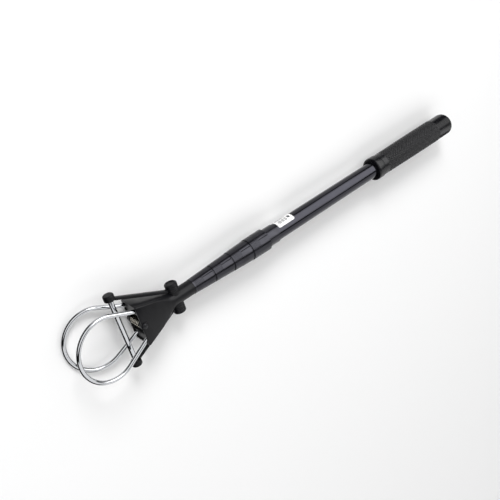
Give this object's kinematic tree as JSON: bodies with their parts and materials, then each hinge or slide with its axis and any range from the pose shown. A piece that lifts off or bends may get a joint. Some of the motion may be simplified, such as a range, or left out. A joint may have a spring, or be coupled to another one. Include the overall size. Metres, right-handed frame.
{
  "type": "golf ball retriever",
  "caption": "Telescopic golf ball retriever, collapsed: a rubber grip and nested tubes with collars, and a hollow fan head with two wire hoops and a pivoting crossbar bail.",
  "frame": {"origin": "centre of the collapsed length, on the surface that the retriever lies on, in the mid-plane between the two pivot knobs", "axes": "+X along the shaft from the hoops to the butt of the grip, +Z from the lower hoop to the upper hoop, +Y towards the side with the label"},
  "size_m": [0.5852, 0.0852, 0.0382],
  "materials": {
    "rubber": "matte, finely textured",
    "black_tube": "satin black coating",
    "collar_plastic": "satin",
    "bush_plastic": "matte",
    "moulding": "satin, fine grain",
    "chrome_wire": "polished",
    "spring_metal": "bright",
    "rivet_metal": "black",
    "label_paper": "printed film"
  },
  "bodies": {
    "handle": {"grip": "rubber", "tube_end_plug": "bush_plastic", "outer_tube": "black_tube", "outer_collar": "collar_plastic", "label": "label_paper"},
    "stage_2": {"tube_2": "black_tube", "bush_2": "bush_plastic", "collar_2": "collar_plastic"},
    "stage_3": {"tube_3": "black_tube", "bush_3": "bush_plastic", "collar_3": "collar_plastic"},
    "stage_4": {"tube_4": "black_tube", "bush_4": "bush_plastic", "collar_4": "collar_plastic"},
    "head": {"tube_5": "black_tube", "bush_5": "bush_plastic", "head_body": "moulding", "hoop_front": "chrome_wire", "hoop_rear": "chrome_wire", "tie_pin": "rivet_metal", "tie_cap": "rivet_metal", "tie_spring": "spring_metal", "pivot_knob_upper": "moulding", "pivot_knob_lower": "moulding"},
    "bail": {"arm_upper": "moulding", "arm_lower": "moulding", "crossbar": "chrome_wire", "pivot_washer_upper": "bush_plastic", "pivot_washer_lower": "bush_plastic"}
  },
  "joints": [
    {"name": "slide_2", "type": "slide", "parent": "handle", "child": "stage_2", "axis": [-1, 0, 0], "range_m": [0, 0.26]},
    {"name": "slide_3", "type": "slide", "parent": "stage_2", "child": "stage_3", "axis": [-1, 0, 0], "range_m": [0, 0.27]},
    {"name": "slide_4", "type": "slide", "parent": "stage_3", "child": "stage_4", "axis": [-1, 0, 0], "range_m": [0, 0.285]},
    {"name": "slide_5", "type": "slide", "parent": "stage_4", "child": "head", "axis": [-1, 0, 0], "range_m": [0, 0.3]},
    {"name": "bail_swing", "type": "hinge", "parent": "head", "child": "bail", "pos_m": [-0.17386, 0, 0.01911], "axis": [0, 1, 0], "range_deg": [-5.5, 5.5]}
  ]
}
